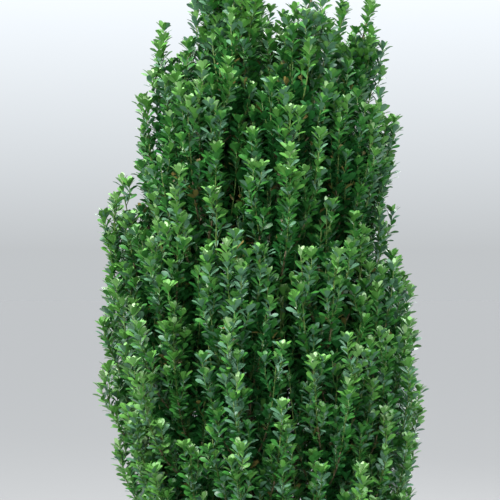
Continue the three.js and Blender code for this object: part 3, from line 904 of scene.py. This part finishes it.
def grow(mass, grown):
    """All the finer growth of one mass, added to what has grown in its ring."""
    leader = {"free": True}
    if is_spire(mass):
        leader.update(shoot_spacing=SPIRE.shoot_spacing, reach_share=SPIRE.shoot_reach)
    behind = {"shoot_spacing": INNER.shoot_spacing, "leaf_spacing": INNER.leaf_spacing, "broad": INNER.broad}
    grow_set(mass, grown, *strand_curves(mass, inner=False), FIRST_ITEM.outer)
    grow_set(mass, grown, *stray_curves(mass), FIRST_ITEM.stray, free=True)
    grow_set(mass, grown, *leader_curve(mass), FIRST_ITEM.leader, **leader)
    grow_set(mass, grown, *strand_curves(mass, inner=True), FIRST_ITEM.inner, **behind)


def add_foliage(ring, materials):
    """The leaves of a ring's masses, a piece for each tint, and their twigs, a piece for each bark."""
    own = [mass for mass in MASSES if mass.ring is ring]
    nodes = [f"foliage_{mass.name}" for mass in own]
    grown = {"leaves": [], "green": [], "brown": []}
    for mass in own:
        grow(mass, grown)
    leaves = {name: np.concatenate([each[name] for each in grown["leaves"]]) for name in grown["leaves"][0]}
    for tint in LEAF_COLOURS:
        shape = blades(INNER_BLADE if tint in INNER_TINTS else BLADE, chosen(leaves, leaves["tint"] == tint))
        add_piece(f"leaves_{ring.name}_{tint}", shape, materials[tint], "foliage", *nodes)
    for bark in ("green", "brown"):
        add_piece(f"twigs_{ring.name}_{bark}", join(grown[bark]), materials[bark], "bark", *nodes)


# Relief, trunk and boughs.
def waves(points, size, seed):
    """A smooth uneven value from -1 to 1 at points, from waves in several directions."""
    count = 6
    value = np.zeros(len(points))
    for k in range(count):
        direction = unit(np.array([chance(seed, k, kind) - 0.5 for kind in ("wave_x", "wave_y", "wave_z")]))
        phase = TURN * chance(seed, k, "wave_phase")
        rate = within((0.7, 0.6), chance(seed, k, "wave_length"))
        value += np.sin(points @ direction * TURN / size * rate + phase)
    return value / count


def swells(points, depth, size, seed, flat=1, upward=1):
    """Relief in smooth swells. A small rate draws them out along the ground or upward."""
    return depth * waves(points * [flat, flat, upward], size, seed)


def grooves(points, depth, size, seed):
    """Relief with narrow grooves that run up the bark."""
    stretched = waves(points * [1, 1, FISSURE.stretch], size, seed)
    return depth * (np.abs(stretched) ** FISSURE.sharpness - 0.5)


def limb(line, start, end, radii, sides, step, seed):
    """A limb along a stretch of a line, with a collar at its root, knots and bark relief."""
    length = line.length * (end - start)
    rings = max(4, int(length / step))
    t = np.linspace(0, 1, rings)
    share = start + (end - start) * t
    radius = along(radii, t)
    way = t * length
    if start == 0:
        radius = radius * (1 + COLLAR.swell * np.exp(-((way / (COLLAR.reach * radii[0])) ** 2)))
    from_knot = (way + KNOT.shift * seed) % KNOT.spacing - KNOT.spacing / 2
    radius = radius * (1 + KNOT.swell * np.exp(-((from_knot / KNOT.length) ** 2)))
    outward = outward_from(line.ahead(share), sides)
    corners = (line.at(share)[:, None] + outward * radius[:, None, None]).reshape(-1, 3)
    relief = swells(corners, depth=0.07, size=9, seed=seed)
    relief += grooves(corners, depth=0.12, size=7, seed=seed + 50)
    relief *= np.repeat(radius, sides)
    return corners + outward.reshape(-1, 3) * relief[:, None], tube_faces(rings, sides)


def plain_trunk(sides=120, rings=60):
    """The trunk's form with its lobed root flare, from the top of the soil to its fork."""
    t = np.linspace(0, 1, rings)[:, None]
    spin = even_turns(sides)[None]
    lobes = np.cos(TRUNK.lobes * spin)
    for height, count, phase in FLARE.minor:
        lobes = lobes + height * np.cos(count * spin + phase)
    radius = along(TRUNK.radii, t) * (1 + FLARE.share * TRUNK.lobe_share * (1 - t) ** FLARE.power * lobes)
    x = TRUNK.lean * t + radius * np.cos(spin)
    z = np.broadcast_to(SOIL.seat_top + GAP + t * TRUNK.height, x.shape)
    return np.stack([x, -radius * np.sin(spin), z], -1).reshape(-1, 3), tube_faces(rings, sides)[:, ::-1]


def bough_start(mass, sides=16, rings=14):
    """A bough's first stretch, wide at the trunk and then sinking under the bough's own surface."""
    radius = mass.ring.bough_radii[0]
    share = np.linspace(0, BOUGH_START.length * radius, rings) / mass.line.length
    widths = radius * along(BOUGH_START.widths, np.linspace(0, 1, rings))
    outward = outward_from(mass.line.ahead(share), sides)
    corners = mass.line.at(share)[:, None] + outward * widths[:, None, None]
    return corners.reshape(-1, 3), tube_faces(rings, sides)


def read(items, name, kind=float):
    """Three values of each item of a mesh."""
    values = np.empty(len(items) * 3, kind)
    items.foreach_get(name, values)
    return values.reshape(-1, 3)


def remeshed(shape):
    """Overlapping shapes in one smooth skin: its corners, their normals and its triangles."""
    corners, faces = shape
    mesh = bpy.data.meshes.new("trunk_form")
    mesh.from_pydata((corners * MM).tolist(), [], faces.tolist())
    form = placed("trunk_form", mesh)
    remesh = form.modifiers.new("skin", "REMESH")
    remesh.mode = "VOXEL"
    remesh.voxel_size = SKIN.voxel * MM
    soften = form.modifiers.new("soften", "SMOOTH")
    soften.factor = SKIN.softness
    soften.iterations = SKIN.softening
    skin = form.evaluated_get(bpy.context.evaluated_depsgraph_get()).to_mesh()
    skin.calc_loop_triangles()
    places, normals = read(skin.vertices, "co") / MM, read(skin.vertices, "normal")
    triangles = read(skin.loop_triangles, "vertices", int)
    bpy.data.objects.remove(form)
    bpy.data.meshes.remove(mesh)
    return places, normals, triangles


def trunk():
    """The trunk and the roots of its boughs in one skin with rounded forks, then the bark's relief."""
    starts = [bough_start(mass) for mass in MASSES if mass.ring.name != "mid"]
    places, normals, triangles = remeshed(join([plain_trunk(), *starts]))
    relief = swells(places, depth=1.3, size=26, seed=3, upward=0.4)
    relief += grooves(places, depth=1.5, size=15, seed=9)
    relief += grooves(places, depth=0.9, size=6, seed=12)
    relief += swells(places, depth=0.3, size=3.1, seed=15)
    above = climb(places[:, 2] - SOIL.seat_top, RELIEF_FOOT.start, RELIEF_FOOT.over)
    return places + normals * (relief * above)[:, None], triangles


def add_limbs():
    """The trunk with the boughs, and the stems that carry them on through the masses."""
    bark = bark_material()
    limbs, stems = [trunk()], []
    for mass in MASSES:
        line, foot, radii, key = mass.line, mass.foot_share, mass.ring.bough_radii, mass.key
        limbs.append(limb(line, 0.0, foot, radii, sides=14, step=6, seed=key))
        stem_radii = [radii[1], STEM.radius, STEM.tip_radius]
        stems.append(limb(line, foot, 1.0, stem_radii, sides=8, step=12, seed=key + 30))
    add_piece("bark_limbs", join(limbs), bark, "bark", "trunk", *[f"bough_{mass.name}" for mass in MASSES])
    add_piece("bark_stems", join(stems), bark, "bark", *[f"foliage_{mass.name}" for mass in MASSES])


# Pot and potting mix.
def rounded(profile, radius, steps=5):
    """The profile's points with its inner corners rounded."""
    points = [np.array(p, float) for p in profile]
    result = [points[0]]
    for before, corner, after in zip(points, points[1:], points[2:]):
        near = min(radius, 0.45 * np.linalg.norm(before - corner), 0.45 * np.linalg.norm(after - corner))
        a = corner + near * unit(before - corner)
        b = corner + near * unit(after - corner)
        for t in np.linspace(0, 1, steps):
            result.append((1 - t) ** 2 * a + 2 * t * (1 - t) * corner + t * t * b)
    return np.array(result + [points[-1]])


def fan(centre, first, sides):
    """Triangles from a centre to each side of the ring that starts at first."""
    k = np.arange(sides)
    return np.stack([np.full(sides, centre), first + k, first + (k + 1) % sides], 1)


def lathe(profile, sides):
    """A closed turned shape. The profile's first and last points lie on the axis."""
    rings = profile[1:-1]
    wall = round_axis(rings[:, :1], even_turns(sides), rings[:, 1:])
    low = fan(len(wall), 0, sides)[:, [0, 2, 1]]
    high = fan(len(wall) + 1, len(wall) - sides, sides)
    poles = [[0, 0, profile[0][1]], [0, 0, profile[-1][1]]]
    return np.vstack([wall, poles]), np.concatenate([tube_faces(len(rings), sides, closed=False), low, high])


def pot_wall_radius(z):
    return np.interp(z, [0, POT.band_foot], [POT.foot_radius, POT.band_radius])


def pot_profile():
    """The pot's half outline, from the middle of its foot up the wall, over the rim and down inside."""
    p = POT
    inner = p.band_radius - p.wall
    heights = np.linspace(CLAY.wall_start, CLAY.wall_end, CLAY.wall_rings)
    wall = np.stack([pot_wall_radius(heights), heights], 1)
    foot = rounded([(0, 0), (p.foot_radius - CLAY.inset, 0), wall[0]], CLAY.corner)
    rim = rounded([
        wall[-1], (p.band_radius, p.band_foot), (p.rim_radius, p.band_foot), (p.rim_radius, p.height),
        (inner, p.height), (inner, p.band_foot), (pot_wall_radius(p.floor) - p.wall, p.floor), (0, p.floor),
    ], CLAY.corner)
    return np.vstack([foot[:-1], wall, rim[1:]])


def add_pot():
    """The pot, with ripples, slow swells and fine rings in its clay."""
    corners, faces = lathe(pot_profile(), CLAY.sides)
    uneven = CLAY.ripple * np.sin(corners[:, 2] * CLAY.ripple_rate)
    uneven += swells(corners, depth=0.35, size=70, seed=61)
    uneven += swells(corners, depth=0.2, size=9, seed=62, flat=0.1)
    uneven *= corners[:, 2] > CLAY.smooth_foot
    radius = np.maximum(np.hypot(corners[:, 0], corners[:, 1]), CLAY.least_radius)
    corners[:, :2] *= (1 + uneven / radius)[:, None]
    add_piece("pot_clay", (corners, faces), clay_material(), "pot", "pot")


MIX_RADIUS = POT.band_radius - POT.wall - SOIL.clear


def soil_level(radius, edge):
    """The height of the potting mix without its mound, out to the radius of its edge."""
    return np.interp(radius, [0, SOIL.seat_radius, edge], [SOIL.seat_top, SOIL.seat_top, SOIL.edge_top])


def mound(radius):
    return MOUND.height * np.exp(-(((radius - MOUND.radius) / MOUND.width) ** 2))


def mix_bed(edge):
    """The potting mix as one body: its lumpy top, and its side and underside in the pot."""
    sides, spin = MIX.sides, even_turns(MIX.sides)
    radii = np.linspace(0, edge, MIX.rings + 1)[1:, None]
    top = round_axis(radii, spin, soil_level(radii, edge))
    lumps = swells(top, depth=1.6, size=23, seed=71)
    lumps += swells(top, depth=1.2, size=9, seed=72)
    lumps += swells(top, depth=0.8, size=4.5, seed=73)
    top[:, 2] += lumps - MIX.settled + mound(np.hypot(top[:, 0], top[:, 1]))
    floor = POT.floor + SOIL.clear
    foot = round_axis(pot_wall_radius(floor) - POT.wall - SOIL.clear, spin, floor)
    corners = np.vstack([[[0, 0, SOIL.seat_top]], top, foot, [[0, 0, floor]]])
    side = tube_faces(len(radii) + 1, sides, closed=False)[:, ::-1] + 1
    underside = fan(len(corners) - 1, 1 + len(top), sides)[:, [0, 2, 1]]
    return corners, np.concatenate([fan(0, 1, sides), side, underside])


def scattered(rule, edge, least, most, lift):
    """Even places on the potting mix, from a least radius to a most one."""
    i = np.arange(rule.count)
    radius = least + (most - least) * np.sqrt(chance(rule.key, i, "radius"))
    height = soil_level(radius, edge) + mound(radius) + lift
    return round_axis(radius, TURN * chance(rule.key, i, "turn"), height)


def uneven_copies(form, rule, kind):
    """A copy of a small form for each item, with every corner at a distance of its own."""
    luck = chance(rule.corner_key + np.arange(len(form))[None], np.arange(rule.count)[:, None], kind)
    return form[None] * within(rule.uneven, luck)[..., None]


def mix_crumbs(edge):
    """Crumbs of uneven eight-sided form on the potting mix."""
    ball = np.array([[1, 0, 0], [-1, 0, 0], [0, 1, 0], [0, -1, 0], [0, 0, 1], [0, 0, -1]], float)
    faces = np.array([[0, 2, 4], [2, 1, 4], [1, 3, 4], [3, 0, 4], [2, 0, 5], [1, 2, 5], [3, 1, 5], [0, 3, 5]])
    centre = scattered(CRUMBS, edge, 0, edge * CRUMBS.reach, 0)
    size = within(CRUMBS.size, chance(CRUMBS.key, np.arange(CRUMBS.count), "crumb_size") ** 3)
    corners = centre[:, None] + uneven_copies(ball, CRUMBS, "crumb_corner") * size[:, None, None]
    return corners.reshape(-1, 3), repeated(faces, CRUMBS.count, len(ball))


def add_soil():
    edge = MIX_RADIUS + MIX.overlap
    add_piece("pot_soil", join([mix_bed(edge), mix_crumbs(edge)]), mix_material(), "soil", "soil")


def turned(points, angle, a, b):
    """Points (count, corners, 3), each row turned by its angle from axis a towards axis b."""
    cos, sin = np.cos(angle)[:, None], np.sin(angle)[:, None]
    result = points.copy()
    result[..., a] = points[..., a] * cos - points[..., b] * sin
    result[..., b] = points[..., a] * sin + points[..., b] * cos
    return result


def add_chips():
    """Flat chips of bark that lie on the potting mix."""
    box = np.array([[x, y, z] for z in (-1, 1) for y in (-1, 1) for x in (-1, 1)], float)
    faces = np.array([
        [0, 3, 1], [0, 2, 3], [4, 5, 7], [4, 7, 6], [0, 1, 5], [0, 5, 4],
        [2, 7, 3], [2, 6, 7], [0, 6, 2], [0, 4, 6], [1, 3, 7], [1, 7, 5],
    ])

    def luck(kind):
        return chance(CHIPS.key, np.arange(CHIPS.count), kind)

    half = np.stack([
        within(CHIPS.length, luck("chip_length") ** 2),
        within(CHIPS.width, luck("chip_width")),
        within(CHIPS.thickness, luck("chip_thickness")),
    ], 1)
    chips = uneven_copies(box, CHIPS, "chip_corner") * half[:, None]
    chips = turned(chips, -swing(CHIPS.tilt, luck("chip_tilt")), 0, 2)
    chips = turned(chips, TURN * luck("chip_spin"), 0, 1)
    centre = scattered(CHIPS, MIX_RADIUS, CHIPS.start, MIX_RADIUS - CHIPS.edge, CHIPS.lift)
    shape = (centre[:, None] + chips).reshape(-1, 3), repeated(faces, CHIPS.count, len(box))
    add_piece("pot_chips", shape, chip_material(), "bark", "soil", smooth=False)


# Floor, light and camera, in metres.
FLOOR = Table(reach=30.0, tone=0.3, roughness=0.9)
# The sky's light, and its tones from the horizon to the zenith.
SKY = Table(
    strength=1.9,
    tones=[(0, (0.283, 0.295, 0.304)), (0.3, (0.64, 0.68, 0.72)), (1, (1.0, 1.02, 1.04))],
)
CAMERA = Table(place=(-0.04, -3.0, 1.23), lens=98.2, sensor=36)  # level with the crown, and looks along +Y


def add_floor():
    reach = FLOOR.reach
    corners = [(-reach, -reach, 0), (reach, -reach, 0), (reach, reach, 0), (-reach, reach, 0)]
    mesh = bpy.data.meshes.new("floor")
    mesh.from_pydata(corners, [], [(0, 1, 2, 3)])
    mesh.materials.append(plain_material("floor", [FLOOR.tone] * 3, FLOOR.roughness))
    placed("floor", mesh)


def set_sky():
    """Soft light from all round, dimmer at the horizon, where it meets the far floor's tone."""
    world = bpy.data.worlds.new("studio")
    bpy.context.scene.world = world
    n = Nodes(world, "Generated")
    sky = n.linear_ramp(n.height(), SKY.tones)
    n.fill(n.tree.nodes["Background"], {"Color": sky, "Strength": SKY.strength})


def add_light(name, place, target, size, power, colour):
    """A soft round light that faces its target."""
    data = bpy.data.lights.new(name, "AREA")
    data.shape = "DISK"
    data.size = size
    data.energy = power
    data.color = colour
    light = placed(name, data)
    light.location = place
    aim = np.array(target) - np.array(place)
    pitch = math.atan2(math.hypot(aim[0], aim[1]), -aim[2])
    light.rotation_euler = (pitch, 0, math.atan2(aim[1], aim[0]) - math.pi / 2)


def set_camera():
    data = bpy.data.cameras.new("camera")
    data.sensor_width = CAMERA.sensor
    data.lens = CAMERA.lens
    camera = placed("camera", data)
    camera.location = CAMERA.place
    camera.rotation_euler = (math.radians(90), 0, 0)
    bpy.context.scene.camera = camera


materials = foliage_materials()
for ring in RINGS:
    add_foliage(ring, materials)
add_limbs()
add_pot()
add_soil()
add_chips()

add_floor()
set_sky()
add_light("key", (-1.9, -2.2, 3.6), target=(0, 0, 1.0), size=2.4, power=246, colour=(1.0, 0.98, 0.94))
add_light("fill", (2.6, -2.0, 2.6), target=(0, 0, 1.0), size=2.2, power=55, colour=(0.92, 0.97, 1.0))
add_light("rim", (1.2, 2.8, 3.2), target=(0, 0, 1.2), size=1.8, power=60, colour=(1.0, 1.0, 1.0))
set_camera()
bpy.context.scene.view_settings.view_transform = "Standard"
